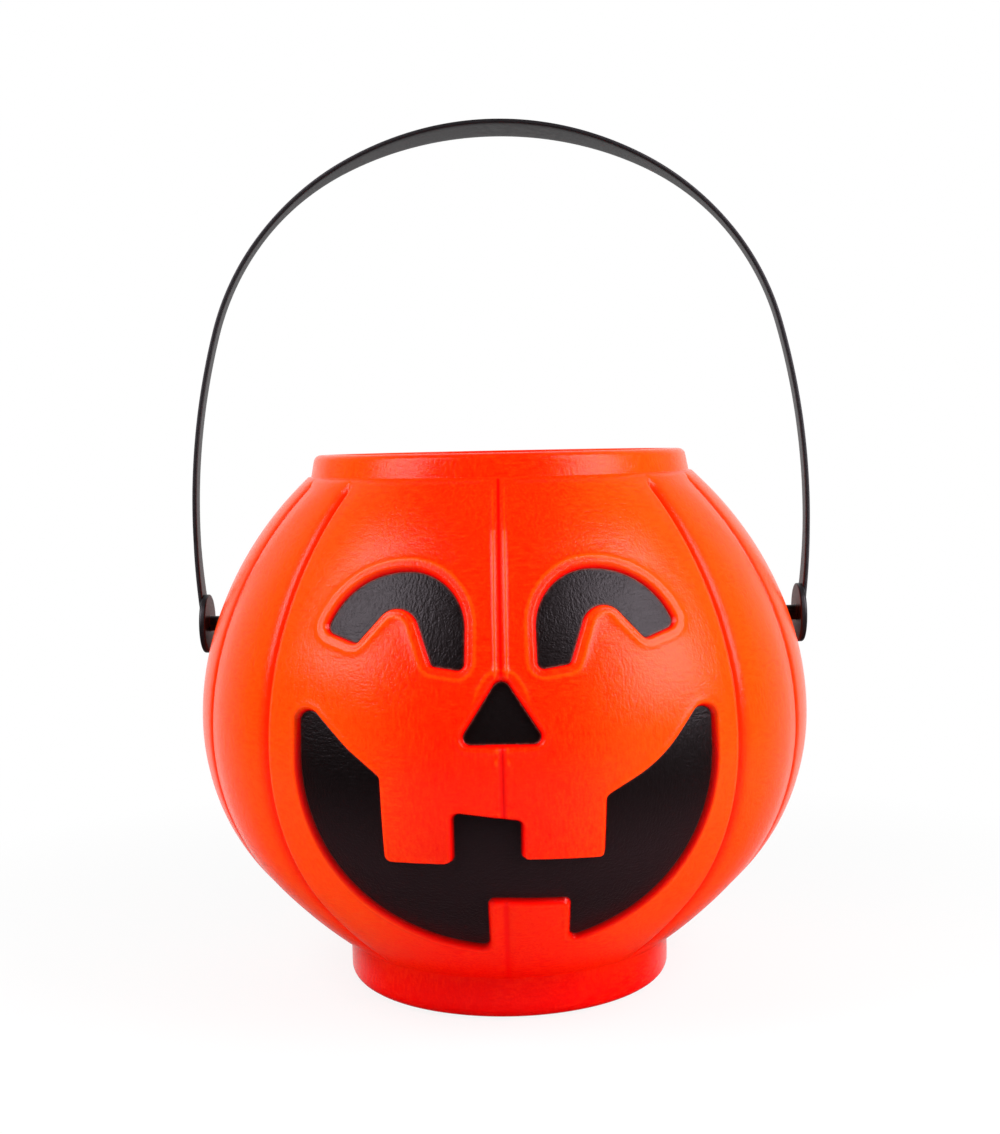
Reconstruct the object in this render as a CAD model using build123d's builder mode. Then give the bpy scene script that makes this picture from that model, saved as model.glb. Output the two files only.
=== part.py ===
from build123d import *
from math import cos, degrees, hypot, radians, sin, sqrt, tan
import os

# Pumpkin candy pail, in millimetres. +Z is up, the face looks along -Y, and the origin is
# the middle of the ring that the pail stands on.

# Round body, a skin of four tangent arcs turned about Z
belly_radius = 99.6
belly_height = 88.1
shoulder_radius = 93.2
shoulder_turn = 16.9
hip_radius = 75.9
hip_turn = 41.2
neck_radius = 63.2
neck_height = 166.3
wall = 1.1

# Collar round the mouth
collar_ledge = 1.0
collar_height = 7.2
collar_draft = 1.4
collar_rounding = 2.4
collar_lip = 5.0

# Hollow foot with a pushed-up base
foot_radius = 53.2
foot_height = 12.9
foot_rounding = 3.6
ring_width = 4.5
push_up = 4.0
push_slope = 45

# Creases between the lobes, with one wide plain panel in front for the face
crease_depth = 1.8
crease_half_width = 3.8
crease_runout = 24.0
crease_runout_turn = 40
crease_top_stop = 11.0
crease_foot_stop = 8.0
front_crease = 44.2
side_lobes = 2
rear_lobes = 4

# Face sunk into the front panel, with paint on its floors
recess_depth = 2.0
recess_bevel = 0.6
paint_thickness = 0.2
paint_margin = 0.25

# Outlines of the face seen from the front: each corner is (x, z, rounding)
eye_corners = [
    (10.4, 114.2, 1.6),
    (9.8, 140.1, 14.8),
    (40.8, 140.1, 25.2),
    (49.2, 123.8, 1.8),
    (40.4, 121.0, 1.2),
    (26.0, 136.5, 6.4),
    (18.9, 115.4, 1.2),
]
nose_corners = [
    (0.0, 112.9, 2.4),
    (11.9, 94.4, 1.8),
    (-11.9, 94.4, 1.8),
]
mouth_corners = [
    (-58.1, 37.4, 58.2),
    (-57.2, 105.6, 3.0),
    (-43.5, 91.4, 30.0),
    (-34.7, 84.3, 1.0),
    (-34.2, 59.2, 3.2),
    (-13.7, 59.4, 3.0),
    (-13.5, 74.7, 1.3),
    (4.4, 72.4, 1.0),
    (4.4, 60.8, 2.2),
    (28.3, 60.1, 2.4),
    (28.9, 78.3, 1.5),
    (44.5, 86.8, 40.0),
    (59.3, 106.1, 3.0),
    (59.9, 46.9, 58.0),
    (18.6, 32.2, 1.5),
    (18.7, 47.6, 2.2),
    (-5.3, 48.6, 2.4),
    (-5.4, 29.8, 1.5),
]

# Handle, a strap with a wide grip, and a disc and a peg at each end
handle_lean = 4
handle_rise = 164.2
crown_radius = 110.0
crown_turn = 27.5
bend_inset = 5.2
bend_turn = 47.5
strap_thickness = 1.6
strap_width = 6.4
strap_flare = 27.0
strap_root_width = 10.4
grip_width = 18.4
grip_start = 128.0
disc_clearance = 0.5
disc_radius = 9.75
disc_thickness = 2.0
disc_rounding = 0.6
peg_height = 118.0
peg_radius = 2.5
peg_clearance = 0.25
head_radius = 3.7
head_length = 4.0
head_gap = 0.4

collar_base_radius = neck_radius - collar_ledge
collar_top_radius = collar_base_radius - collar_draft
rim_height = neck_height + collar_height
mouth_radius = collar_top_radius - collar_lip
reach = belly_radius + handle_rise

# Round shapes are turned from a half section behind the pail, in the middle of a lobe
turn_plane = Plane.XZ.rotated((0, 0, 90 + 45 / rear_lobes))

# The two arcs that close the skin run on from the shoulder and the hip to the neck and the foot
with BuildLine(Plane.XZ):
    shoulder_arc = JernArc((belly_radius, belly_height), (0, 1), shoulder_radius, shoulder_turn)
    neck_arc = TangentArc(shoulder_arc @ 1, (neck_radius, neck_height), tangent=shoulder_arc % 1)
    hip_arc = JernArc((belly_radius, belly_height), (0, -1), hip_radius, -hip_turn)
    under_arc = TangentArc(hip_arc @ 1, (foot_radius, foot_height), tangent=hip_arc % 1)


def skin_radius(height, inset=0):
    """Radius at a height of the skin moved inwards by inset, on the arc that spans that height."""
    arcs = [shoulder_arc, neck_arc, hip_arc, under_arc]
    for arc in arcs:
        if min((arc @ 0).Z, (arc @ 1).Z) <= height <= max((arc @ 0).Z, (arc @ 1).Z):
            middle = arc.arc_center
            return middle.X + sqrt((arc.radius - inset) ** 2 - (height - middle.Z) ** 2)


def skin_arcs(inset, top_stop=0, foot_stop=0):
    """Draw the skin's profile moved inwards by inset: four arcs about the skin's own centres.

    The stops shorten it at the neck and at the foot. Returns the highest and the lowest arc.
    """
    neck_turn = degrees((neck_arc.length - top_stop) / neck_arc.radius)
    under_turn = degrees((under_arc.length - foot_stop) / under_arc.radius)
    belly = (belly_radius - inset, belly_height)
    shoulder = JernArc(belly, (0, 1), shoulder_radius - inset, shoulder_turn)
    neck = JernArc(shoulder @ 1, shoulder % 1, neck_arc.radius - inset, neck_turn)
    hip = JernArc(belly, (0, -1), hip_radius - inset, -hip_turn)
    under = JernArc(hip @ 1, hip % 1, under_arc.radius - inset, -under_turn)
    return neck, under


def body_inside(inset):
    """The whole round body inside the skin moved inwards by inset."""
    with BuildPart() as body:
        with BuildSketch(turn_plane):
            with BuildLine():
                neck, under = skin_arcs(inset)
                Polyline(neck @ 1, (0, (neck @ 1).Y), (0, (under @ 1).Y), under @ 1)
            make_face()
        revolve(axis=Axis.Z)
    return body.part


def foot_inside(inset, top):
    """The foot up to the height top, inside a skin moved inwards by inset, over the pushed-up base."""
    slope_shift = inset * tan(radians(push_slope / 2))
    ring_inner = foot_radius - foot_rounding - ring_width + slope_shift
    base_radius = ring_inner - push_up / tan(radians(push_slope))
    with BuildPart() as foot:
        with BuildSketch(turn_plane):
            with BuildLine():
                FilletPolyline(
                    (0, top),
                    (0, push_up + inset),
                    (base_radius, push_up + inset),
                    (ring_inner, inset),
                    (foot_radius - inset, inset),
                    (foot_radius - inset, top),
                    radius=[0, 0, 0, foot_rounding - inset, 0, 0],
                    close=True,
                )
            make_face()
        revolve(axis=Axis.Z)
    return foot.part


def collar_inside(inset, base):
    """The collar from the height base up to its lip, inside a skin moved inwards by inset."""
    slope = collar_draft / collar_height
    base_radius = collar_top_radius + slope * (rim_height - base) - inset
    with BuildPart() as collar:
        with BuildSketch(turn_plane):
            with BuildLine():
                FilletPolyline(
                    (0, base),
                    (base_radius, base),
                    (collar_top_radius - inset, rim_height - inset),
                    (0, rim_height - inset),
                    radius=[0, 0, collar_rounding - inset, 0],
                    close=True,
                )
            make_face()
        revolve(axis=Axis.Z)
    return collar.part


def crease_cutter(inset):
    """One crease down a meridian at +X: a valley with two straight sides, lifting out at both ends."""
    with BuildLine(Plane.XZ) as line:
        neck, under = skin_arcs(inset, crease_top_stop, crease_foot_stop)
        JernArc(neck @ 1, neck % 1, crease_runout, -crease_runout_turn)
        JernArc(under @ 1, under % 1, crease_runout, crease_runout_turn)
    path = line.wire()
    with BuildPart() as cutter:
        with BuildSketch(Plane(origin=path @ 0, x_dir=(0, -1, 0), z_dir=path % 0)):
            with BuildLine():
                Polyline(
                    (0, -crease_depth),
                    (2 * crease_half_width, crease_depth),
                    (-2 * crease_half_width, crease_depth),
                    close=True,
                )
            make_face()
        sweep(path=path)
    return cutter.part


def face_bar(corners, grow):
    """A bar from the middle of the pail out through its front, with an outline grown by grow all round."""
    with BuildPart() as bar:
        with BuildSketch(Plane.XZ):
            with BuildLine():
                FilletPolyline(
                    *[(x, z) for x, z, rounding in corners],
                    radius=[rounding for x, z, rounding in corners],
                    close=True,
                )
            make_face()
            if grow:
                offset(amount=grow)
        extrude(amount=reach)
    return bar.part


def creased(solid, inset):
    """A solid of the round body with every crease cut into it, the valleys moved inwards by inset."""
    with BuildPart() as body:
        add(solid)
        for angle in crease_angles:
            add(crease_cutter(inset), rotation=(0, 0, angle), mode=Mode.SUBTRACT)
    return body.part


def face_front(grow, floor):
    """What stands in front of a floor skin within the face's outlines, grown by grow all round."""
    with BuildPart() as front:
        for corners in face_outlines.values():
            add(face_bar(corners, grow))
        add(floor, mode=Mode.SUBTRACT)
    return front.part


def recess_rim(edge):
    """Whether an edge runs round a recess at the skin, not on its floor, down its wall or in a crease."""
    middle = edge @ 0.5
    depth = skin_radius(middle.Z) - hypot(middle.X, middle.Y)
    return depth < recess_depth / 4 and recesses.distance_to(middle) < recess_bevel / 4


face_outlines = {
    "left_eye": [(-x, z, rounding) for x, z, rounding in eye_corners],
    "right_eye": eye_corners,
    "nose": nose_corners,
    "mouth": mouth_corners,
}

# Angles of the creases about Z from +X: round the back from side to side, then towards the front each way
side_lobe = (90 - front_crease) / side_lobes
side_angles = [side_lobe * (crease + 1) for crease in range(side_lobes)]
crease_angles = [crease * 90 / rear_lobes for crease in range(2 * rear_lobes + 1)]
crease_angles += [-angle for angle in side_angles]
crease_angles += [180 + angle for angle in side_angles]

# Outside of the body, with the rims of the recesses bevelled
recess_floor = body_inside(recess_depth)
recesses = face_front(0, recess_floor)
with BuildPart() as sunk_body:
    add(body_inside(0))
    add(recesses, mode=Mode.SUBTRACT)
    chamfer(sunk_body.edges(Select.LAST).filter_by(recess_rim), recess_bevel)
outer_body = creased(sunk_body.part, 0)
outer_foot = foot_inside(0, foot_height + wall)
outer_collar = collar_inside(0, neck_height - wall)

# Room inside the pail, one wall in from the skin, also behind the recesses of the face
inner_body = creased(body_inside(wall), wall)
inner_foot = foot_inside(wall, foot_height + foot_rounding)
inner_collar = collar_inside(wall, neck_height - collar_height)
recess_backs = face_front(wall, body_inside(recess_depth + wall))
with BuildPart() as room:
    add(inner_body)
    add(inner_foot)
    add(inner_collar)
    add(recess_backs, mode=Mode.SUBTRACT)

# Blow-moulded shell: body, foot and collar in one skin, with the mouth cut open and two peg holes
with BuildPart() as pail_shell:
    add(outer_body)
    add(outer_foot)
    add(outer_collar)
    add(room.part, mode=Mode.SUBTRACT)
    with BuildSketch(Plane.XY.offset(neck_height)):
        Circle(mouth_radius)
    extrude(amount=2 * collar_height, mode=Mode.SUBTRACT)
    with BuildSketch(Plane.YZ):
        with Locations((0, peg_height)):
            Circle(peg_radius + peg_clearance)
    extrude(amount=reach, both=True, mode=Mode.SUBTRACT)
pail_shell.part.label = "pail_shell"

# Paint films on the floors of the recesses
paint_top = body_inside(recess_depth - paint_thickness)
paints = {}
for feature, corners in face_outlines.items():
    film_bar = face_bar(corners, -paint_margin)
    with BuildPart() as paint:
        add(film_bar)
        add(recess_floor, mode=Mode.SUBTRACT)
        add(paint_top, mode=Mode.INTERSECT)
    paint.part.label = f"{feature}_paint"
    paints[paint.part.label] = paint.part

# The handle is drawn in its own plane, which leans back about the line through the pegs
handle_front = Vector(0, -cos(radians(handle_lean)), sin(radians(handle_lean)))
handle_plane = Plane(origin=(0, 0, peg_height), x_dir=(1, 0, 0), z_dir=handle_front)
handle_side = Plane(origin=(0, 0, peg_height), x_dir=handle_front, z_dir=(-1, 0, 0))

# The discs stand clear of the lobes, and the bend of the strap brings the legs in line with them
disc_face = skin_radius(peg_height - disc_radius) + disc_clearance + disc_thickness
crown_reach = crown_radius * sin(radians(crown_turn))
bend_share = sin(radians(crown_turn + bend_turn)) - sin(radians(crown_turn))
bend_radius = (disc_face - bend_inset - crown_reach) / bend_share
with BuildLine():
    crown_half = JernArc((0, handle_rise), (1, 0), crown_radius, -crown_turn)
    bend_half = JernArc(crown_half @ 1, crown_half % 1, bend_radius, -bend_turn)
    leg_half = TangentArc(bend_half @ 1, (disc_face, disc_radius), tangent=bend_half % 1)


def arch_line(inset):
    """Draw the right half of the strap's outer line moved inwards by inset, closed along the middle."""
    crown = JernArc((0, handle_rise - inset), (1, 0), crown_radius - inset, -crown_turn)
    bend = JernArc(crown @ 1, crown % 1, bend_radius - inset, -bend_turn)
    leg_turn = degrees(leg_half.length / leg_half.radius)
    leg = JernArc(bend @ 1, bend % 1, leg_half.radius - inset, -leg_turn)
    Polyline(leg @ 1, (disc_face - inset, (leg @ 1).Y), (disc_face - inset, 0), (0, 0), crown @ 0)


# Injection-moulded handle: arch of strap seen from the front, cut to its outline seen from the side
with BuildPart() as handle:
    with BuildSketch(handle_plane):
        with BuildLine():
            arch_line(0)
        make_face()
        with BuildLine():
            arch_line(strap_thickness)
        make_face(mode=Mode.SUBTRACT)
        mirror(about=Plane.YZ)
    extrude(amount=grip_width, both=True)
    with BuildSketch(handle_side):
        with BuildLine():
            edge = Line((strap_width / 2, strap_flare), (strap_width / 2, grip_start))
            flare = TangentArc(edge @ 1, (grip_width / 2, handle_rise), tangent=edge % 1)
            Polyline(flare @ 1, (0, handle_rise), (0, 0), (strap_root_width / 2, 0), edge @ 0)
        make_face()
        mirror(about=Plane.YZ)
    extrude(amount=reach, both=True, mode=Mode.INTERSECT)
    peg_end = skin_radius(peg_height + head_radius, wall + crease_depth) - head_gap
    with BuildSketch(Plane.XZ):
        with BuildLine():
            FilletPolyline(
                (disc_face, peg_height),
                (disc_face, peg_height + disc_radius),
                (disc_face - disc_thickness, peg_height + disc_radius),
                (disc_face - disc_thickness, peg_height + peg_radius),
                (peg_end, peg_height + peg_radius),
                (peg_end, peg_height + head_radius),
                (peg_end - head_length, peg_height + peg_radius / 2),
                (peg_end - head_length, peg_height),
                radius=[0, disc_rounding, 0, 0, 0, 0, 0, 0],
                close=True,
            )
        make_face()
    revolve(axis=Axis((0, 0, peg_height), (1, 0, 0)))
    mirror(about=Plane.YZ)
handle.part.label = "handle"

os.makedirs("parts", exist_ok=True)
export_step(pail_shell.part, "parts/pail_shell.step")
export_step(handle.part, "parts/handle.step")
for name, film in paints.items():
    export_step(film, f"parts/{name}.step")
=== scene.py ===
import bmesh
import bpy
import numpy as np
from mathutils import Matrix, Vector
from mathutils.geometry import delaunay_2d_cdt


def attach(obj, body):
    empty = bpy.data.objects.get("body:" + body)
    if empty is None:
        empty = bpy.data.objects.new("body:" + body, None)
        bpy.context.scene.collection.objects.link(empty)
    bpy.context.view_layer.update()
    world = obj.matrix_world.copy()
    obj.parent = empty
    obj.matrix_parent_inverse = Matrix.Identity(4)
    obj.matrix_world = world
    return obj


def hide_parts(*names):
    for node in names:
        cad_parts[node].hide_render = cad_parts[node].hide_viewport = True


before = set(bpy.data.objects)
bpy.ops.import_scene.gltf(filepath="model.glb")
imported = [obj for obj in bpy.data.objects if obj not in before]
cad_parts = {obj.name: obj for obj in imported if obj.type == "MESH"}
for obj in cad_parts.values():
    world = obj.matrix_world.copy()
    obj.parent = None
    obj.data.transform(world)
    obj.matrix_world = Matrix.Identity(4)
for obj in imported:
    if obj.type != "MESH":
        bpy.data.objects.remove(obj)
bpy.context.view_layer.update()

# Pail moulding: one blow-moulded polyethylene shell with twelve lobes, a wide plain panel in front, a
# collar round the mouth and a hollow foot. The mould also sinks the face into the front panel and leaves
# a parting line down its middle. Sizes are in millimetres here and become metres in the meshes.
BELLY = (99.6, 88.1)
SHOULDER_RADIUS, SHOULDER_TURN = 93.2, np.radians(16.9)
HIP_RADIUS, HIP_TURN = 75.9, np.radians(41.2)
NECK_END, FOOT_END = (63.2, 166.3), (53.2, 12.9)
WALL = 1.1

# Creases: where they stand round the pail, and the sizes of the valley, its rolled edges, the swell of the
# panel and the lobes beside it, the bead, and the lengths over which a crease opens at its two ends
FRONT_CREASE = np.radians(44.5)
LOBE_EDGES = np.radians([44.5, 67.0, 90, 112.5, 135, 157.5, 180, 202.5, 225, 247.5, 270, 293.0, 315.5])
VALLEY_DEPTH, VALLEY_WIDTH, VALLEY_END = 0.5, 0.7, 0.3
EDGE_DEPTH, EDGE_ROLL = 0.7, 3.5
SWELL_DEPTH, PANEL_SWELL, LOBE_SWELL = 0.9, 7.0, 17.0
BEAD_HEIGHT, BEAD_PLACE, BEAD_WIDTH = 0.18, 2.8, 0.8
CREASE_TOP, CREASE_FOOT = (1, 5), (0.5, 9)

# Parting line: bands of height where it changes, then pairs of sizes below the nose and above it (the lips'
# widths below the neck and at it), and two small beads under the nose
CHIN_BAND, NOSE_BAND, NECK_BAND = (40, 52), (91, 95), (151, 152.5)
SEAM_TOP, SEAM_FOOT = (1.5, 5), (0, 4)
GROOVE_DEPTH, GROOVE_WIDTH, CHIN_SPREAD = (0.50, 0.12), (0.65, 0.55), 0.70
SEAM_LIP_HEIGHT, SEAM_LIP_PLACE, SEAM_LIP_WIDTH = (0.08, 0.38), (1.3, 1.65), (0.5, 0.65)
NECK_LIP_DROP = 0.14
NOSE_BEAD_HEIGHT, NOSE_BEAD_UP, NOSE_BEAD_ASIDE = 0.4, (89.6, 1.1), (1.8, 0.6)

# Face: the recess, its lip round the mouth and round the eyes, and the corners (across, up, rounding) of the
# outlines seen from the front
RECESS_DEPTH, RECESS_WALL = 2.0, 1.5
EYE_BAND = (104, 110)
LIP_HEIGHT, LIP_PLACE, LIP_WIDTH = (0.20, 0.34), (2.1, 3.3), 0.9
SEAM_STOP = (0.4, 1.6)
OUTLINE_STEP = 0.5
RIGHT_EYE = [(10.4, 114.2, 1.6), (9.8, 140.1, 14.8), (40.8, 140.1, 25.2), (49.2, 123.8, 1.8),
             (40.4, 121.0, 1.2), (26.0, 136.5, 6.4), (18.9, 115.4, 1.2)]
LEFT_EYE = [(-x, z, rounding) for x, z, rounding in RIGHT_EYE]
NOSE = [(0.0, 112.9, 2.4), (11.9, 94.4, 1.8), (-11.9, 94.4, 1.8)]
MOUTH = [(-58.1, 37.4, 58.2), (-57.2, 105.6, 3.0), (-43.5, 91.4, 30.0), (-34.7, 84.3, 1.0),
         (-34.2, 59.2, 3.2), (-13.7, 59.4, 3.0), (-13.5, 74.7, 1.3), (4.4, 72.4, 1.0), (4.4, 60.8, 2.2),
         (28.3, 60.1, 2.4), (28.9, 78.3, 1.5), (44.5, 86.8, 40.0), (59.3, 106.1, 3.0), (59.9, 46.9, 58.0),
         (18.6, 32.2, 1.5), (18.7, 47.6, 2.2), (-5.3, 48.6, 2.4), (-5.4, 29.8, 1.5)]


def ramp(low, high, value):
    """Smooth step: 0 below low, 1 above high, and 3t^2 - 2t^3 between them."""
    t = np.clip((value - low) / (high - low), 0, 1)
    return t * t * (3 - 2 * t)


def hump(middle, width, value):
    """Bell curve of height 1: exp(-((value - middle) / width)^2)."""
    return np.exp(-(((value - middle) / width) ** 2))


def between(pair, share):
    """Value on the way from the first of a pair to the second: a + (b - a) share."""
    return pair[0] + (pair[1] - pair[0]) * share


def wrapped(turn):
    """Angle brought into the half turn to either side of zero."""
    return (turn + np.pi) % (2 * np.pi) - np.pi


def along(points, step, closed):
    """Points at even steps along a polyline, by its running length."""
    if closed:
        points = np.vstack([points, points[:1]])
    length = np.concatenate([[0], np.cumsum(np.hypot(*np.diff(points, axis=0).T))])
    count = max(2, int(round(length[-1] / step)) + (not closed))
    places = np.linspace(0, length[-1], count, endpoint=not closed)
    return np.column_stack([np.interp(places, length, points[:, axis]) for axis in (0, 1)])


def rounded(corners, step, closed=True):
    """Straight runs joined by arcs: each corner (x, z, rounding) gives way to the arc of that radius that
    touches both of its runs, at corner - t*in .. corner + t*out with t = radius * tan(turn / 2)."""
    corners = np.array(corners, float)
    place, radius = corners[:, :2], corners[:, 2:]
    come = place - np.roll(place, 1, axis=0)
    go = np.roll(place, -1, axis=0) - place
    if not closed:
        come[0], go[-1] = go[0], come[-1]
    come /= np.linalg.norm(come, axis=1, keepdims=True)
    go /= np.linalg.norm(go, axis=1, keepdims=True)
    turn = np.arctan2(come[:, 0] * go[:, 1] - come[:, 1] * go[:, 0], (come * go).sum(1))[:, None]
    start = place - come * radius * np.tan(np.abs(turn) / 2)
    side = np.sign(turn) * np.column_stack([-come[:, 1], come[:, 0]])
    swing = np.linspace(0, 1, 41)[None, :, None] * np.abs(turn)[:, None]
    arcs = come[:, None] * np.sin(swing) + side[:, None] * (1 - np.cos(swing))
    line = (start[:, None] + radius[:, None] * arcs).reshape(-1, 2)
    keep = np.ones(len(line), bool)
    keep[1:] = np.hypot(*np.diff(line, axis=0).T) > 1e-6
    return along(line[keep], step, closed)


def arc_on(start, ahead, inward, end, count):
    """Arc that runs on from a start without a bend and reaches the end: start + r (ahead sin a + inward
    (1 - cos a)), with r = chord^2 / (2 inward.chord). The start itself is left out."""
    chord = np.array(end) - start
    radius = chord @ chord / (2 * inward @ chord)
    angle = np.linspace(0, 2 * np.arctan2(inward @ chord, ahead @ chord), count)[1:, None]
    return start + radius * (ahead * np.sin(angle) + inward * (1 - np.cos(angle)))


def skin_half(up, radius, turn, end):
    """Half of the body's meridian from the belly up (1) or down (-1): an arc of the given radius and turn,
    then the one arc that runs on from it without a bend and reaches the end point."""
    angle = np.linspace(0, turn, 200)
    first = np.column_stack([np.cos(angle) - 1, up * np.sin(angle)]) * radius + BELLY
    ahead = np.array([-np.sin(turn), up * np.cos(turn)])
    inward = np.array([-np.cos(turn), -up * np.sin(turn)])
    return np.vstack([first, arc_on(first[-1], ahead, inward, end, 200)])


lower_half = skin_half(-1, HIP_RADIUS, HIP_TURN, FOOT_END)
upper_half = skin_half(1, SHOULDER_RADIUS, SHOULDER_TURN, NECK_END)
skin_line = np.vstack([lower_half[:0:-1], upper_half])
skin_run = np.concatenate([[0], np.cumsum(np.hypot(*np.diff(skin_line, axis=0).T))])
skin_out = np.gradient(skin_line, skin_run, axis=0)[:, ::-1] * (1, -1)
SKIN_TOP = skin_run[-1]


def girth_at(run):
    """Radius of the plain skin at a distance up the meridian."""
    return np.interp(run, skin_run, skin_line[:, 0])


def height_at(run):
    """Height of the plain skin at a distance up the meridian."""
    return np.interp(run, skin_run, skin_line[:, 1])


def on_skin(turn, run, lift):
    """Point of the skin at an angle from the front and a distance up the meridian, lifted along the normal:
    x = q sin(turn), y = -q cos(turn) with q = r(run) + n_r lift, and z = z(run) + n_z lift."""
    out = girth_at(run) + np.interp(run, skin_run, skin_out[:, 0]) * lift
    high = height_at(run) + np.interp(run, skin_run, skin_out[:, 1]) * lift
    return np.stack([out * np.sin(turn), -out * np.cos(turn), high], axis=-1)


def unroll(outline):
    """Outline seen from the front (x, z) as angles and distances up the meridian, so that it stands in its
    place on the floor of the recess: the skin moved in by the recess's depth along its normal."""
    floor_line = skin_line - RECESS_DEPTH * skin_out
    run = np.interp(outline[:, 1], floor_line[:, 1], skin_run)
    return np.column_stack([np.arcsin(outline[:, 0] / np.interp(run, skin_run, floor_line[:, 0])), run])


face_lines = {}
for feature, corners in (("left_eye", LEFT_EYE), ("right_eye", RIGHT_EYE), ("nose", NOSE), ("mouth", MOUTH)):
    line = rounded(corners, OUTLINE_STEP)
    area = (line[:, 0] * np.roll(line[:, 1], -1) - np.roll(line[:, 0], -1) * line[:, 1]).sum()
    face_lines[feature] = unroll(line if area > 0 else line[::-1])
line_starts = np.vstack(list(face_lines.values()))
line_ends = np.vstack([np.roll(line, -1, axis=0) for line in face_lines.values()])


def face_distance(turn, run):
    """Distance over the skin to the nearest outline of the face, below zero inside it: the shortest way to
    any short straight piece of the outlines, with the sign from counting the pieces to the right."""
    place = on_skin(turn, run, 0)
    start, end = on_skin(*line_starts.T, 0), on_skin(*line_ends.T, 0)
    step = end - start
    result = np.empty(len(turn))
    for part in np.array_split(np.arange(len(turn)), len(turn) // 800 + 1):
        offset = place[part, None] - start
        share = np.clip((offset * step).sum(2) / (step * step).sum(1), 0, 1)
        away = np.linalg.norm(offset - share[..., None] * step, axis=2).min(1)
        height = run[part, None]
        crosses = (line_starts[:, 1] > height) != (line_ends[:, 1] > height)
        rise = np.where(crosses, line_ends[:, 1] - line_starts[:, 1], 1)
        across = line_ends[:, 0] - line_starts[:, 0]
        meet = line_starts[:, 0] + (height - line_starts[:, 1]) * across / rise
        inside = (crosses & (turn[part, None] < meet)).sum(1) % 2 == 1
        result[part] = np.where(inside, -away, away)
    return result


def crease_place(turn, run):
    """Distance from the nearest valley, whether that is on the side towards the face, and how far the crease
    is open: it runs out to a point under the collar and at the foot."""
    gap = wrapped(turn[..., None] - LOBE_EDGES)
    nearest = np.abs(gap).argmin(-1)
    gap = np.take_along_axis(gap, nearest[..., None], -1)[..., 0]
    ahead = gap * np.sin(LOBE_EDGES[nearest]) < 0
    return np.abs(gap) * girth_at(run), ahead, ramp(*CREASE_TOP, SKIN_TOP - run) * ramp(*CREASE_FOOT, run)


def crease_lift(turn, run):
    """Creases between the lobes: a narrow bell-shaped valley with the wall rolled into it from both sides by
    -depth (1 - t/width)^2, once over a short width for the edge and once over a long one that swells the
    lobe, and a thin bead on the side towards the face."""
    away, ahead, fade = crease_place(turn, run)
    on_panel = np.abs(wrapped(turn)) < FRONT_CREASE
    lobe_swell = LOBE_SWELL * girth_at(run) / BELLY[0]
    valley = VALLEY_DEPTH * hump(0, VALLEY_WIDTH * between((VALLEY_END, 1), fade), away)
    edge = EDGE_DEPTH * (1 - np.minimum(away / EDGE_ROLL, 1)) ** 2
    swell = SWELL_DEPTH * (1 - np.minimum(away / np.where(on_panel, PANEL_SWELL, lobe_swell), 1)) ** 2
    bead = BEAD_HEIGHT * ahead * hump(BEAD_PLACE * fade, BEAD_WIDTH, away)
    return fade * (bead - valley - edge - swell)


def seam_lift(turn, run):
    """Parting line down the front: a groove between two raised lips, wide and soft under the collar, narrow
    below the nose and fading into one broad groove above the foot."""
    away = np.abs(turn) * girth_at(run)
    high = height_at(run)
    soft = ramp(*NECK_BAND, high)
    plain = ramp(*NOSE_BAND, high)
    low = 1 - ramp(*CHIN_BAND, high)
    fade = ramp(*SEAM_TOP, SKIN_TOP - run) * ramp(*SEAM_FOOT, run)
    groove = between(GROOVE_DEPTH, plain) * hump(0, between(GROOVE_WIDTH, plain) + CHIN_SPREAD * low, away)
    lip_height = (between(SEAM_LIP_HEIGHT, plain) - NECK_LIP_DROP * soft) * (1 - low)
    lips = lip_height * hump(between(SEAM_LIP_PLACE, plain), between(SEAM_LIP_WIDTH, soft), away)
    beads = NOSE_BEAD_HEIGHT * hump(*NOSE_BEAD_UP, high) * hump(*NOSE_BEAD_ASIDE, away)
    return fade * (lips + beads - groove)


def front_lift(turn, run, away):
    """Height of the front panel over the plain skin: creases, parting line, and the face's recesses with a
    steep wall and a soft raised lip, as functions of the distance away from the outlines."""
    round_eyes = ramp(*EYE_BAND, height_at(run))
    lip = between(LIP_HEIGHT, round_eyes) * hump(between(LIP_PLACE, round_eyes), LIP_WIDTH, away)
    sunk = RECESS_DEPTH * (1 - ramp(0, RECESS_WALL, away))
    return crease_lift(turn, run) + seam_lift(turn, run) * ramp(*SEAM_STOP, away) + lip * (away > 0) - sunk


def net(rows, columns, closed):
    """Corner numbers of the four-sided faces of a grid of points, row by row."""
    corner = np.arange(rows * columns).reshape(rows, columns)
    if closed:
        corner = np.hstack([corner, corner[:, :1]])
    sides = [corner[:-1, :-1], corner[:-1, 1:], corner[1:, 1:], corner[1:, :-1]]
    return np.stack(sides, -1).reshape(-1, 4)


def moulded(name, blocks, mark=0):
    """One closed mesh from blocks of (points in millimetres, faces), with the shared edges merged. The mark
    is a value at each point that the material reads."""
    points = np.vstack([block[0].reshape(-1, 3) for block in blocks]) / 1000
    first = np.cumsum([0] + [block[0].size // 3 for block in blocks[:-1]])
    faces = [face for start, block in zip(first, blocks) for face in (np.asarray(block[1]) + start).tolist()]
    mesh = bpy.data.meshes.new(name)
    mesh.from_pydata(points.tolist(), [], faces)
    values = np.zeros(len(points), np.float32) + mark
    mesh.attributes.new("mark", "FLOAT", "POINT").data.foreach_set("value", values)
    work = bmesh.new()
    work.from_mesh(mesh)
    bmesh.ops.remove_doubles(work, verts=work.verts, dist=1e-6)
    bmesh.ops.dissolve_degenerate(work, edges=work.edges, dist=1e-7)
    work.to_mesh(mesh)
    work.free()
    mesh.shade_smooth()
    piece = bpy.data.objects.new(name, mesh)
    bpy.context.scene.collection.objects.link(piece)
    return piece


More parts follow.
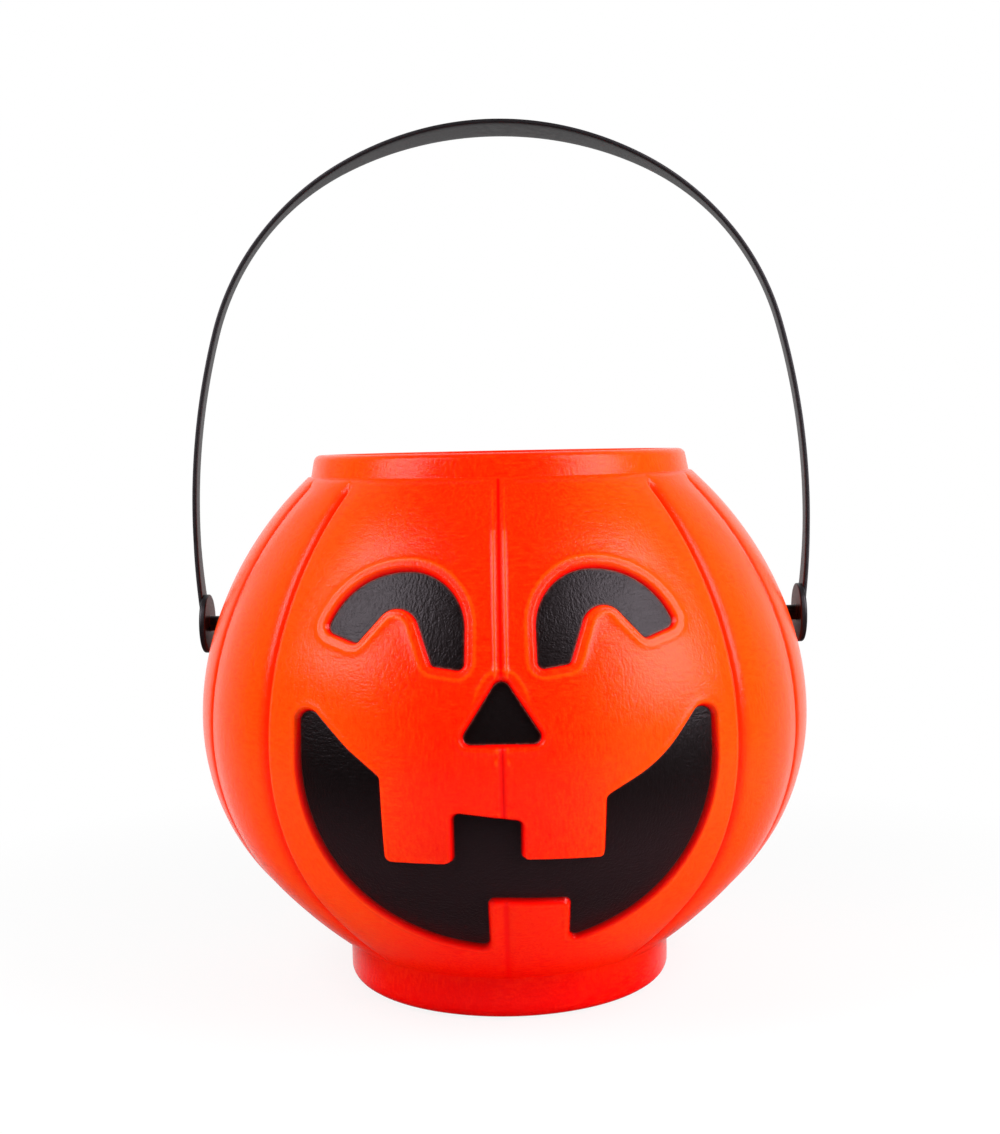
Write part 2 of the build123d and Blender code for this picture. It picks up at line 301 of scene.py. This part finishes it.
# Rows up the body, and columns round it that crowd towards the valleys
runs = np.linspace(0, SKIN_TOP, 97)
FOLD_COLUMNS = np.array([0, 0.35, 0.7, 1.1, 1.5, 2.0, 2.5, 3.2, 4.5, 6.5, 9.5, 13.5]) / BELLY[0]
lobe_turns = []
for low, high in zip(LOBE_EDGES[:-1], LOBE_EDGES[1:]):
    lobe_turns += [low + FOLD_COLUMNS, [(low + high) / 2], high - FOLD_COLUMNS[:0:-1]]
lobe_turns = np.append(np.concatenate(lobe_turns), LOBE_EDGES[-1])
panel_turns = np.linspace(-FRONT_CREASE, FRONT_CREASE, 61)
round_turns = np.concatenate([panel_turns, lobe_turns[1:-1]])

# Points of the front panel: rings round each outline, columns by the parting line and the creases, and a
# loose lattice on the plain skin between them
FLAT_GIRTH = 90
RING_STEPS = [-1.2, -0.35, 0, 0.25, 0.5, 0.75, 1.0, 1.25, 1.5, 2.0, 2.5, 2.9, 3.3, 3.7, 4.2, 5.2]
RING_SLACK, RING_CLEAR = 0.06, 0.25
SEAM_COLUMNS = np.array([0, 0.15, 0.3, 0.45, 0.65, 0.9, 1.15, 1.4, 1.6, 1.8, 2.05, 2.4, 2.9, 3.6, 4.4])
SEAM_ROWS, SEAM_CLEAR = 260, 0.12
CREASE_COLUMNS = np.array([0.3, 0.6, 0.9, 1.2, 1.5, 1.8, 2.1, 2.45, 2.85, 3.4, 4.2, 5.2, 6.4, 7.6])
LATTICE, LATTICE_CLEAR, LATTICE_INSIDE = 2.4, 6.2, 2.6
LATTICE_FROM_CREASE, LATTICE_FROM_SEAM = 8.2, 5.4


def pairs(turn, run):
    """Rows of two, mostly (turn, run), from two arrays of the same shape."""
    return np.column_stack([np.ravel(turn), np.ravel(run)])


def offset_line(line, step):
    """Outline moved outward over the skin: line + step * outward, which is square to the line's heading."""
    girth = girth_at(line[:, 1])
    heading = (np.roll(line, -1, axis=0) - np.roll(line, 1, axis=0)) * pairs(girth, np.ones(len(line)))
    heading /= np.linalg.norm(heading, axis=1, keepdims=True)
    return line + step * pairs(heading[:, 1] / girth, -heading[:, 0])


def rings_along(line, steps):
    """Rows of (turn, run, step) on outlines moved outward by each step, without the points that lie nearer
    to some other stretch of outline than their step."""
    rows = np.vstack([np.column_stack([offset_line(line, step), np.full(len(line), step)]) for step in steps])
    return rows[np.abs(face_distance(rows[:, 0], rows[:, 1]) - rows[:, 2]) < RING_SLACK]


def triangulated(points, loop):
    """Points of the skin laid flat and joined into triangles, kept within a closed loop where one is given.
    Gives the points in the order that the triangles use, and the triangles."""
    flat = list(map(Vector, (points * (FLAT_GIRTH, 1)).tolist()))
    _, _, faces, origins, _, _ = delaunay_2d_cdt(flat, loop, [], 1 if loop else 0, 1e-5)
    return points[[origin[0] for origin in origins]], faces


rings = np.vstack([rings_along(line, RING_STEPS) for line in face_lines.values()])
ring_reach = np.abs(rings[:, 0]) * girth_at(rings[:, 1])
rings = rings[(ring_reach > SEAM_COLUMNS[-1] + RING_CLEAR) | (rings[:, 2] <= 0)][:, :2]

both_columns = np.concatenate([-SEAM_COLUMNS[:0:-1], SEAM_COLUMNS])
seam_run, seam_away = np.meshgrid(np.linspace(0, SKIN_TOP, SEAM_ROWS)[1:-1], both_columns, indexing="ij")
seam = pairs(seam_away / girth_at(seam_run), seam_run)
seam = seam[face_distance(*seam.T) > SEAM_CLEAR]

crease_run, crease_away = np.meshgrid(runs[1:-1], CREASE_COLUMNS, indexing="ij")
creases = pairs(FRONT_CREASE - crease_away / girth_at(crease_run), crease_run)
creases = np.vstack([creases, creases * (-1, 1)])

lattice_runs = np.arange(LATTICE, SKIN_TOP - 1, LATTICE)
lattice_turns = np.arange(-FRONT_CREASE, FRONT_CREASE, LATTICE / FLAT_GIRTH)
lattice_run, lattice_turn = np.meshgrid(lattice_runs, lattice_turns, indexing="ij")
lattice_turn[1::2] += LATTICE / (2 * FLAT_GIRTH)
lattice = pairs(lattice_turn, lattice_run)
girth = girth_at(lattice[:, 1])
from_line = face_distance(*lattice.T)
clear = (from_line > LATTICE_CLEAR) | (from_line < -LATTICE_INSIDE)
clear &= (FRONT_CREASE - np.abs(lattice[:, 0])) * girth > LATTICE_FROM_CREASE
clear &= np.abs(lattice[:, 0]) * girth > LATTICE_FROM_SEAM
lattice = lattice[clear]

panel_foot = pairs(panel_turns, np.zeros(len(panel_turns)))
panel_top = pairs(panel_turns, np.full(len(panel_turns), SKIN_TOP))
panel_side = pairs(np.full(len(runs) - 2, FRONT_CREASE), runs[1:-1])
panel_edges = [panel_foot, panel_top, panel_side * (-1, 1), panel_side]
panel_points, panel_faces = triangulated(np.vstack(panel_edges + [rings, seam, creases, lattice]), [])
panel_away = face_distance(*panel_points.T)
panel_lift = front_lift(*panel_points.T, panel_away)
panel_block = (on_skin(*panel_points.T, panel_lift), panel_faces)

lobe_run, lobe_turn = np.meshgrid(runs, lobe_turns, indexing="ij")
lobe_block = (on_skin(lobe_turn, lobe_run, crease_lift(lobe_turn, lobe_run)), net(*lobe_run.shape, False))


def turned(corners, longest, bend):
    """Profile of rounded corners (radius, height, rounding) turned about Z at the columns round the pail.
    Its points keep an even step of length / longest + turning / bend."""
    line = rounded(corners, 0.1, closed=False)
    step = np.diff(line, axis=0)
    heading = np.unwrap(np.arctan2(step[:, 1], step[:, 0]))
    measure = np.hypot(*step.T) / longest + np.abs(np.diff(heading, prepend=heading[0])) / bend
    measure = np.concatenate([[0], np.cumsum(measure)])
    places = np.linspace(0, measure[-1], int(measure[-1]) + 2)
    radius, high = (np.interp(places, measure, line[:, axis])[:, None] for axis in (0, 1))
    points = [radius * np.sin(round_turns), -radius * np.cos(round_turns), high + 0 * round_turns]
    return np.stack(points, -1), net(len(places), len(round_turns), True)


FOOT_PROFILE = [(0, 4.0, 0), (41.1, 4.0, 1.5), (45.1, 0, 1.2), (53.2, 0, 3.6), (53.2, 12.9, 0)]
COLLAR_PROFILE = [(63.2, 166.3, 0), (62.2, 166.3, 0.35), (60.8, 173.5, 2.4), (55.8, 173.5, 0.4),
                  (55.8, 172.4, 0.4), (59.9, 172.4, 1.3), (61.1, 166.3, 1.0), (NECK_END[0] - 1.2, 165.2, 0)]
FLOOR_PROFILE = [(52.1, 13.6, 0), (52.1, 1.1, 2.5), (45.6, 1.1, 1.2), (41.6, 5.1, 1.5), (0, 5.1, 0)]
foot_block = turned(FOOT_PROFILE, 8.0, 0.26)
collar_block = turned(COLLAR_PROFILE, 2.0, 0.28)
floor_block = turned(FLOOR_PROFILE, 10.0, 0.45)

# Inside of the wall: the same forms one wall in, with the recesses as soft swellings
INNER_ROWS, INNER_WALL, PANEL_MARGIN = 25, (-0.5, 3.5), 0.02
inner_run, inner_turn = np.meshgrid(np.linspace(SKIN_TOP, 0, INNER_ROWS), round_turns, indexing="ij")
in_front = np.abs(wrapped(inner_turn)) < FRONT_CREASE - PANEL_MARGIN
inner_away = face_distance(inner_turn[in_front], inner_run[in_front])
inner_lift = crease_lift(inner_turn, inner_run)
inner_lift[in_front] -= RECESS_DEPTH * (1 - ramp(*INNER_WALL, inner_away))
inner_points = on_skin(inner_turn, inner_run, inner_lift - WALL)
inner_points[0] = collar_block[0][-1]
inner_points[-1] = floor_block[0][0]
inner_block = (inner_points, net(*inner_run.shape, True))

# Painted light and shade on the wall, as a mark: a painted highlight, lighter (below 0), on the raised lips,
# painted shade, deeper red (up to 0.5), in the folds and the parting line, and dark painted shade (1) on the
# recess walls: a narrow edge round each outline and a wide one round the outside of the mouth
DEEP_MARK = 0.5
FOLD_SHADE, FOLD_AHEAD, FOLD_BEHIND = 0.34, 1.0, 3.0
SEAM_EDGE, SEAM_EDGE_FROM, SEAM_EDGE_TO = (0.95, 0.60), 0.3, 1.3
MOUTH_MIDDLE, MOUTH_BAND = 70.0, (85, 100)
RECESS_SHADE_WIDTH, MOUTH_SHADE_EXTRA, RECESS_SHADE_REACH = 1.3, 0.7, 3
OUTWARD_BAND, PROBE = (0.04, 0.16), 0.2


def fold_shade(turn, run):
    """Share of the painted shade, a deeper red, down in the folds: a bell across each crease, as strong as
    the crease is open and wider on the lobe behind it than on the side towards the face."""
    away, ahead, fade = crease_place(turn, run)
    return FOLD_SHADE * fade * hump(0, np.where(ahead, FOLD_AHEAD, FOLD_BEHIND), away)


# Painted shade on the recess walls: dark within a band round each outline, widened round the outside of the
# mouth below its top
near = (panel_away > 0) & (panel_away < RECESS_SHADE_REACH)
turn, run = panel_points[near].T
girth = girth_at(run)
across, up = turn * girth, height_at(run) - MOUTH_MIDDLE
sideways = face_distance(turn + PROBE / girth, run) - panel_away[near]
upwards = face_distance(turn, run + PROBE) - panel_away[near]
outward = (sideways * across + upwards * up) / np.hypot(across, up)
spread = np.full(len(panel_points), RECESS_SHADE_WIDTH)
spread[near] += MOUTH_SHADE_EXTRA * ramp(*OUTWARD_BAND, outward) * (1 - ramp(*MOUTH_BAND, height_at(run)))
recess_shade = 1 - ramp(0, 1, panel_away / spread)
# Painted shade down the parting line: a deeper red groove, narrower above the nose
seam_away = np.abs(panel_points[:, 0]) * girth_at(panel_points[:, 1])
seam_edge = between(SEAM_EDGE, ramp(*NOSE_BAND, height_at(panel_points[:, 1])))
seam_shade = DEEP_MARK * (1 - ramp(SEAM_EDGE_FROM * seam_edge, SEAM_EDGE_TO * seam_edge, seam_away))
seam_shade *= ramp(*SEAM_STOP, panel_away)
panel_shade = np.maximum(recess_shade, np.maximum(seam_shade, fold_shade(*panel_points.T)))
# Painted highlight: the mark goes below zero on the raised lips, which the material paints lighter orange
panel_shade -= np.clip(2 * panel_lift / LIP_HEIGHT[1] - 1, 0, 1)
pail_blocks = [panel_block, lobe_block, foot_block, collar_block, inner_block, floor_block]
shade = np.concatenate([panel_shade, fold_shade(lobe_turn, lobe_run).ravel()])
shade = np.pad(shade, (0, sum(block[0].size // 3 for block in pail_blocks[2:])))
pail = moulded("pail_moulding", pail_blocks, shade)


def put(tree, socket, value):
    """Links a socket to another node's output, or sets it to a constant."""
    if isinstance(value, bpy.types.NodeSocket):
        tree.links.new(value, socket)
    else:
        socket.default_value = value


def math_node(tree, operation, *values):
    """Result of a math node over outputs and constants."""
    node = tree.nodes.new("ShaderNodeMath")
    node.operation = operation
    for socket, value in zip(node.inputs, values):
        put(tree, socket, value)
    return node.outputs["Value"]


def mapped(tree, value, low, high, to_low=0.0, to_high=1.0, smooth=False):
    """Value brought from low .. high to to_low .. to_high and held at the ends, with soft ends if smooth."""
    node = tree.nodes.new("ShaderNodeMapRange")
    if smooth:
        node.interpolation_type = "SMOOTHSTEP"
    put(tree, node.inputs["Value"], value)
    for name, number in (("From Min", low), ("From Max", high), ("To Min", to_low), ("To Max", to_high)):
        put(tree, node.inputs[name], number)
    return node.outputs["Result"]


def mixed(tree, share, first, second, kind="RGBA", blend="MIX"):
    """Mix of two colours, or of two values where the kind is FLOAT, by a share."""
    node = tree.nodes.new("ShaderNodeMix")
    node.data_type = kind
    node.blend_type = blend
    first_input, output = (6, 2) if kind == "RGBA" else (2, 0)
    put(tree, node.inputs[0], share)
    put(tree, node.inputs[first_input], first)
    put(tree, node.inputs[first_input + 1], second)
    return node.outputs[output]


def noise(tree, place, scale, detail, roughness=0.5):
    """Cloudy noise around 0.5."""
    node = tree.nodes.new("ShaderNodeTexNoise")
    put(tree, node.inputs["Vector"], place)
    for name, number in (("Scale", scale), ("Detail", detail), ("Roughness", roughness)):
        put(tree, node.inputs[name], number)
    return node.outputs["Fac"]


def colours(tree, value, stops):
    """Colour at a value on a ramp of (place, colour) stops."""
    node = tree.nodes.new("ShaderNodeValToRGB")
    first, *middle, last = stops
    for element, (position, colour) in zip(node.color_ramp.elements, (first, last)):
        element.position = position
        element.color = colour
    for position, colour in middle:
        node.color_ramp.elements.new(position).color = colour
    put(tree, node.inputs["Fac"], value)
    return node.outputs["Color"]


def split_axes(tree, place):
    """X, Y and Z of a place, as a set of outputs."""
    node = tree.nodes.new("ShaderNodeSeparateXYZ")
    put(tree, node.inputs["Vector"], place)
    return node.outputs


def mark_of(tree):
    """The value that the mesh carries at each point."""
    node = tree.nodes.new("ShaderNodeAttribute")
    node.attribute_name = "mark"
    return node.outputs["Fac"]


def mould_grain():
    """Shared grain of the mould: short strokes that run up in some patches and across in others, like a
    woven cloth, over a fine leather noise. Height is their mix, around 0.5."""
    tree = bpy.data.node_groups.new("mould_grain", "ShaderNodeTree")
    tree.interface.new_socket("Vector", in_out="INPUT", socket_type="NodeSocketVector")
    tree.interface.new_socket("Pitch", in_out="INPUT", socket_type="NodeSocketFloat")
    tree.interface.new_socket("Height", in_out="OUTPUT", socket_type="NodeSocketFloat")
    take, give = tree.nodes.new("NodeGroupInput"), tree.nodes.new("NodeGroupOutput")

    def strokes(stretch):
        """Noise drawn out along the axes where the stretch is small."""
        node = tree.nodes.new("ShaderNodeVectorMath")
        node.operation = "MULTIPLY"
        put(tree, node.inputs[0], take.outputs["Vector"])
        put(tree, node.inputs[1], stretch)
        return noise(tree, node.outputs[0], take.outputs["Pitch"], 2.0, 0.55)

    upright, level, leather = strokes((1, 1, 0.32)), strokes((0.32, 0.32, 1)), strokes((1.3, 1.3, 1.3))
    patches = mapped(tree, noise(tree, take.outputs["Vector"], 60.0, 1.0), 0.42, 0.58, smooth=True)
    weave = mixed(tree, patches, upright, level, "FLOAT")
    put(tree, give.inputs["Height"], mixed(tree, 0.4, weave, leather, "FLOAT"))
    return tree


grain_group = mould_grain()


def grained(name, pitch, rough, strength, depth):
    """New material whose roughness and bump follow the mould's grain, at a pitch in strokes to the metre.
    Gives the material, its node tree and shader, the place on the piece and the height of the grain."""
    material = bpy.data.materials.new(name)
    material.use_nodes = True
    tree = material.node_tree
    surface = tree.nodes["Principled BSDF"]
    place = tree.nodes.new("ShaderNodeTexCoord").outputs["Object"]
    grain = tree.nodes.new("ShaderNodeGroup")
    grain.node_tree = grain_group
    put(tree, grain.inputs["Vector"], place)
    put(tree, grain.inputs["Pitch"], pitch)
    height = grain.outputs["Height"]
    put(tree, surface.inputs["Roughness"], mapped(tree, height, 0.3, 0.7, *rough))
    bump = tree.nodes.new("ShaderNodeBump")
    put(tree, bump.inputs["Strength"], strength)
    put(tree, bump.inputs["Distance"], depth)
    put(tree, bump.inputs["Height"], height)
    put(tree, surface.inputs["Normal"], bump.outputs["Normal"])
    return material, tree, surface, place, height


# Orange polyethylene with painted light and shade: deep red at the foot and along the middle of front and
# back as painted shade, lighter on the sides and towards the shoulder as painted light, and on the raised
# lips
DYE_AND_PAINTED_LIGHT = [(0.0, (0.86, 0.0006, 0.0004, 1)), (0.12, (0.90, 0.0018, 0.0004, 1)), (0.30, (0.96, 0.011, 0.0005, 1)),
       (0.45, (0.97, 0.018, 0.0006, 1)), (1.0, (0.98, 0.060, 0.0012, 1))]
# Colours of the painted shade: deep red in the folds and the parting line, dark on the recess walls
PAINTED_SHADE_RED, PAINTED_RECESS_SHADE = (0.92, 0.0016, 0.0004, 1), (0.09, 0.0012, 0.0008, 1)
# The painted side light is centred a little left of the middle, so the left side stays a little darker
PAINTED_LIGHT_OFFSET = 0.003
orange, tree, surface, place, grain = grained("orange_polyethylene", 1150.0, (0.16, 0.26), 0.7, 0.00026)
put(tree, surface.inputs["IOR"], 1.5)
put(tree, surface.inputs["Specular IOR Level"], 0.112)
axes = split_axes(tree, place)
mark = mark_of(tree)
# Painted light: lighter towards the shoulder and on the sides away from the middle; painted shade keeps the
# foot deep red
painted_top_light = mapped(tree, axes["Z"], 0.015, 0.165, 0.0, 0.10)
aside = math_node(tree, "ABSOLUTE", math_node(tree, "ADD", axes["X"], PAINTED_LIGHT_OFFSET))
sides = mapped(tree, aside, 0.010, 0.048, 0.33, 0.88, smooth=True)
above_foot = mapped(tree, axes["Z"], -0.010, 0.040, smooth=True)
painted_side_light = math_node(tree, "MULTIPLY", sides, above_foot)
clouds = math_node(tree, "MULTIPLY_ADD", noise(tree, place, 26.0, 2.0), 0.12, -0.06)
strokes = math_node(tree, "ADD", grain, -0.5)
# Painted highlight: lighter orange on the raised lips
lips = mapped(tree, mark, 0.0, -1.0, 0.0, 0.45)
level = painted_top_light
for more in (painted_side_light, clouds, strokes, lips):
    level = math_node(tree, "ADD", level, more)
dye_and_painted_light = colours(tree, level, DYE_AND_PAINTED_LIGHT)
# Painted shade: deeper red in the folds and the parting line, then dark on the recess walls
fold_and_seam_shaded = mixed(tree, mapped(tree, mark, 0.0, DEEP_MARK), dye_and_painted_light, PAINTED_SHADE_RED)
painted_shade_colour = mixed(tree, mapped(tree, mark, DEEP_MARK, 1.0), fold_and_seam_shaded, PAINTED_RECESS_SHADE)
put(tree, surface.inputs["Base Color"], painted_shade_colour)
pail.data.materials.append(orange)
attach(pail, "pail")
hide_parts("pail_shell")

# Face paint: four films of black paint sprayed through a mask onto the floors of the recesses, thin at
# their edges where the orange shows through, a painted highlight on the rim, taking up the mould's grain.
PAINT_THICK, PAINT_BORDER = 0.2, 0.25
FILM_STEPS = [-0.12, -0.5, -1.1, -2.0, -3.2]
FILL_PITCH, FILL_INSIDE = 1.6, 3.8
MOUTH_PALE_EDGE = 0.25
# The first stop is a painted highlight along each film's rim, the second the thin edge with orange showing
# through
PAINT_AND_RIM_HIGHLIGHT = [(0.12, (0.20, 0.07, 0.055, 1)), (0.30, (0.03, 0.005, 0.004, 1)), (0.75, (0.0042, 0.0022, 0.0022, 1))]
CHIN_PALE = (0.015, 0.0065, 0.008, 1)
black_paint, tree, surface, place, _ = grained("black_paint", 1250.0, (0.32, 0.44), 0.8, 0.00036)
put(tree, surface.inputs["Specular IOR Level"], 0.19)
put(tree, surface.inputs["Specular Tint"], (1.0, 0.86, 0.97, 1))
frayed = math_node(tree, "MULTIPLY_ADD", noise(tree, place, 700.0, 3.0), 0.5, mark_of(tree))
towards_chin = mapped(tree, split_axes(tree, place)["Z"], 0.088, 0.055, smooth=True)
thinned = mixed(tree, towards_chin, colours(tree, frayed, PAINT_AND_RIM_HIGHLIGHT), CHIN_PALE, blend="ADD")
put(tree, surface.inputs["Base Color"], thinned)

for feature, line in face_lines.items():
    border = offset_line(line, PAINT_BORDER)
    film = rings_along(line, FILM_STEPS)[:, :2]
    low, high = line.min(0), line.max(0)
    fill_runs = np.arange(low[1], high[1], FILL_PITCH)
    fill_turns = np.arange(low[0], high[0], FILL_PITCH / FLAT_GIRTH)
    fill_run, fill_turn = np.meshgrid(fill_runs, fill_turns, indexing="ij")
    fill = pairs(fill_turn, fill_run)
    fill = fill[face_distance(*fill.T) < -FILL_INSIDE]
    ring = np.arange(len(border))
    film, film_faces = triangulated(np.vstack([border, film, fill]), pairs(ring, np.roll(ring, -1)).tolist())
    from_line = face_distance(*film.T)
    points = on_skin(*film.T, PAINT_THICK - RECESS_DEPTH)
    pale_edge = MOUTH_PALE_EDGE if feature == "mouth" else 0.0
    paint = moulded(f"{feature}_film", [(points, film_faces)], pale_edge - from_line)
    solid = paint.modifiers.new("thickness", "SOLIDIFY")
    solid.thickness = PAINT_THICK / 1000
    solid.offset = -1
    paint.data.materials.append(black_paint)
    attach(paint, "pail")
    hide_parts(f"{feature}_paint")

# Strap handle: one injection-moulded black strap, wide and flat under the fingers, with a disc, a peg and a
# snap head at each end. It swings on the pegs and stands a little back from upright.
PEG_HEIGHT, LEAN = 118.0, np.radians(4)
STRAP_RISE, STRAP_THICK, STRAP_SQUARE = 164.2, 1.6, 0.35
CROWN_RADIUS, CROWN_TURN = 110.0, np.radians(27.5)
BEND_RADIUS, BEND_TURN = 87.0, np.radians(75)
ROOT_TO_LEG, ROOT_LENGTH = (5.2, 3.2), 27.0
GRIP_START, GRIP_ARC = 128.0, 112.2
DISC_FACE, DISC_RADIUS, DISC_THICK = 99.9, 9.75, 2.0


def arc_about(middle, radius, turn):
    """Points of an arc in the plane of the strap: middle + radius (sin turn, cos turn)."""
    return middle + radius * np.column_stack([np.sin(turn), np.cos(turn)])


crown_middle = (0, STRAP_RISE - CROWN_RADIUS)
crown = arc_about(crown_middle, CROWN_RADIUS, np.linspace(0, CROWN_TURN, 90))
bend_middle = arc_about(crown_middle, CROWN_RADIUS - BEND_RADIUS, CROWN_TURN)[0]
bend = arc_about(bend_middle, BEND_RADIUS, np.linspace(CROWN_TURN, BEND_TURN, 110)[1:])
ahead = np.array([np.cos(BEND_TURN), -np.sin(BEND_TURN)])
inward = np.array([-np.sin(BEND_TURN), -np.cos(BEND_TURN)])
half_arch = np.vstack([crown, bend, arc_on(bend[-1], ahead, inward, (DISC_FACE, 0), 120)])
arch = np.vstack([half_arch[::-1] * (-1, 1), half_arch[1:]])
arch_tangent = np.gradient(arch, axis=0)
arch_tangent /= np.linalg.norm(arch_tangent, axis=1, keepdims=True)
arch_inward = np.column_stack([arch_tangent[:, 1], -arch_tangent[:, 0]])


def strap_half_width(high):
    """Half of the strap's width at a height over the pegs: a wedge from the disc, an even leg, and an arc
    that opens to the grip."""
    root = between(ROOT_TO_LEG, np.clip(high / ROOT_LENGTH, 0, 1))
    open_out = np.clip(high - GRIP_START, 0, None)
    return root + GRIP_ARC - np.sqrt(GRIP_ARC ** 2 - open_out ** 2)


def squared(wave):
    """Sine wave with flat tops: sign(wave) |wave|^power, for a section with rounded corners."""
    return np.sign(wave) * np.abs(wave) ** STRAP_SQUARE


def lean_back(x, y, high):
    """Handle coordinates (across, to the back, up from the pegs) turned back about the line of the pegs."""
    return np.stack([x, y * np.cos(LEAN) + high * np.sin(LEAN),
                     PEG_HEIGHT + high * np.cos(LEAN) - y * np.sin(LEAN)], -1)


section_turn = np.linspace(0, 2 * np.pi, 40, endpoint=False)
strap_y = strap_half_width(arch[:, 1])[:, None] * squared(np.cos(section_turn))
through = STRAP_THICK / 2 * (1 - squared(np.sin(section_turn)))
strap_x, strap_h = (arch[:, [axis]] + arch_inward[:, [axis]] * through for axis in (0, 1))
strap_points = lean_back(strap_x, strap_y, strap_h)
strap_ends = np.broadcast_to(strap_points[[0, -1]].mean(1, keepdims=True), (2,) + strap_points.shape[1:])
strap_points = np.concatenate([strap_ends[:1], strap_points, strap_ends[1:]])
strap_blocks = [(strap_points, net(*strap_points.shape[:2], True))]

# Disc, peg and snap head turned about the line of the pegs: (distance from the middle, radius, rounding)
DISC_FRONT, DISC_BACK = DISC_FACE + 0.05, DISC_FACE - DISC_THICK
PEG_PROFILE = [(DISC_FRONT, 0, 0), (DISC_FRONT, DISC_RADIUS, 0.7), (DISC_BACK, DISC_RADIUS, 0.3),
               (DISC_BACK, 2.5, 0.3), (89.6, 2.5, 0), (89.6, 3.7, 0.3), (85.6, 1.3, 0.4), (85.6, 0, 0)]
peg_line = rounded(PEG_PROFILE, 0.3, closed=False)
peg_turn = np.linspace(0, 2 * np.pi, 64, endpoint=False)
peg_faces = net(len(peg_line), len(peg_turn), True)
for hand in (-1, 1):
    peg_x = hand * peg_line[:, :1] + 0 * peg_turn
    peg_points = lean_back(peg_x, peg_line[:, 1:] * np.cos(peg_turn), peg_line[:, 1:] * np.sin(peg_turn))
    strap_blocks.append((peg_points, peg_faces if hand < 0 else peg_faces[:, ::-1]))
strap = moulded("strap_handle", strap_blocks)
work = bmesh.new()
work.from_mesh(strap.data)
bmesh.ops.recalc_face_normals(work, faces=work.faces)
work.to_mesh(strap.data)
work.free()
strap.data.shade_smooth()

BLACK = [(0.3, (0.0065, 0.006, 0.0065, 1)), (0.7, (0.0105, 0.0095, 0.0105, 1))]
black_plastic, tree, surface, _, grain = grained("black_polypropylene", 1500.0, (0.34, 0.46), 0.25, 0.0001)
put(tree, surface.inputs["Specular IOR Level"], 0.26)
put(tree, surface.inputs["Specular Tint"], (1.0, 0.88, 1.0, 1))
put(tree, surface.inputs["Base Color"], colours(tree, grain, BLACK))
strap.data.materials.append(black_plastic)
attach(strap, "strap")
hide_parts("handle")

# Studio: a white sheet under the pail that fades into a white wall behind it, a dark room in front, two soft
# boxes high at the sides
SHEET = 3
floor_mesh = bpy.data.meshes.new("studio_floor")
floor_corners = [(-SHEET, -SHEET, 0), (SHEET, -SHEET, 0), (SHEET, SHEET, 0), (-SHEET, SHEET, 0)]
floor_mesh.from_pydata(floor_corners, [], [(0, 1, 2, 3)])
floor = bpy.data.objects.new("studio_floor", floor_mesh)
bpy.context.scene.collection.objects.link(floor)
paper = bpy.data.materials.new("white_paper")
paper.use_nodes = True
tree = paper.node_tree
tree.nodes.remove(tree.nodes["Principled BSDF"])
matt = tree.nodes.new("ShaderNodeBsdfDiffuse")
put(tree, matt.inputs["Color"], (0.80, 0.80, 0.80, 1))
glow = tree.nodes.new("ShaderNodeEmission")
put(tree, glow.inputs["Color"], (1, 1, 1, 1))
put(tree, glow.inputs["Strength"], 1.0)
reach = tree.nodes.new("ShaderNodeVectorMath")
reach.operation = "LENGTH"
put(tree, reach.inputs[0], tree.nodes.new("ShaderNodeTexCoord").outputs["Object"])
fade = mapped(tree, reach.outputs["Value"], 0.07, 0.30, 0.84, 1.0)
seen = tree.nodes.new("ShaderNodeLightPath").outputs["Is Camera Ray"]
sheet = tree.nodes.new("ShaderNodeMixShader")
put(tree, sheet.inputs["Fac"], math_node(tree, "MULTIPLY", seen, fade))
put(tree, sheet.inputs[1], matt.outputs["BSDF"])
put(tree, sheet.inputs[2], glow.outputs["Emission"])
put(tree, tree.nodes["Material Output"].inputs["Surface"], sheet.outputs["Shader"])
floor.data.materials.append(paper)
floor.visible_glossy = False

world = bpy.data.worlds.new("studio_air")
bpy.context.scene.world = world
world.use_nodes = True
tree = world.node_tree
air = tree.nodes["Background"]
put(tree, air.inputs["Color"], (1, 1, 1, 1))
axes = split_axes(tree, tree.nodes.new("ShaderNodeTexCoord").outputs["Generated"])
wall = mapped(tree, axes["Y"], 0.12, 0.85, 0.012, 0.95, smooth=True)
skirting = mapped(tree, axes["Z"], -0.55, -0.28, 0.1, 1.0)
seen = tree.nodes.new("ShaderNodeLightPath").outputs["Is Camera Ray"]
room = math_node(tree, "MAXIMUM", seen, math_node(tree, "MULTIPLY", wall, skirting))
put(tree, air.inputs["Strength"], room)

BOX_AIM = (0, -0.02, 0.12)


def soft_box(name, place, size, power):
    """Rectangular area lamp at a place, turned to face the pail."""
    lamp = bpy.data.lights.new(name, "AREA")
    lamp.shape = "RECTANGLE"
    lamp.size, lamp.size_y = size
    lamp.energy = power
    holder = bpy.data.objects.new(name, lamp)
    holder.location = place
    holder.rotation_euler = (Vector(BOX_AIM) - Vector(place)).to_track_quat("-Z", "Y").to_euler()
    bpy.context.scene.collection.objects.link(holder)


soft_box("left_box", (-0.362, -0.222, 0.40), (0.25, 0.36), 3.0)
soft_box("right_box", (0.362, -0.232, 0.34), (0.25, 0.42), 3.6)

# Camera: in front and a little above the rim, turned slightly clockwise, as the photograph was taken
CAMERA_PLACE = (0.0046, -0.520, 0.1769)
CAMERA_PITCH, CAMERA_YAW, CAMERA_ROLL = np.radians(4.60), np.radians(0.57), np.radians(1.18)
camera = bpy.data.cameras.new("camera")
camera.lens, camera.sensor_width = 49.67, 36.0
view = bpy.data.objects.new("camera", camera)
view.matrix_world = (Matrix.Translation(CAMERA_PLACE)
                     @ Matrix.Rotation(CAMERA_YAW, 4, "Z")
                     @ Matrix.Rotation(np.pi / 2 - CAMERA_PITCH, 4, "X")
                     @ Matrix.Rotation(-CAMERA_ROLL, 4, "Z"))
bpy.context.scene.collection.objects.link(view)
bpy.context.scene.camera = view
bpy.context.scene.view_settings.view_transform = "Standard"
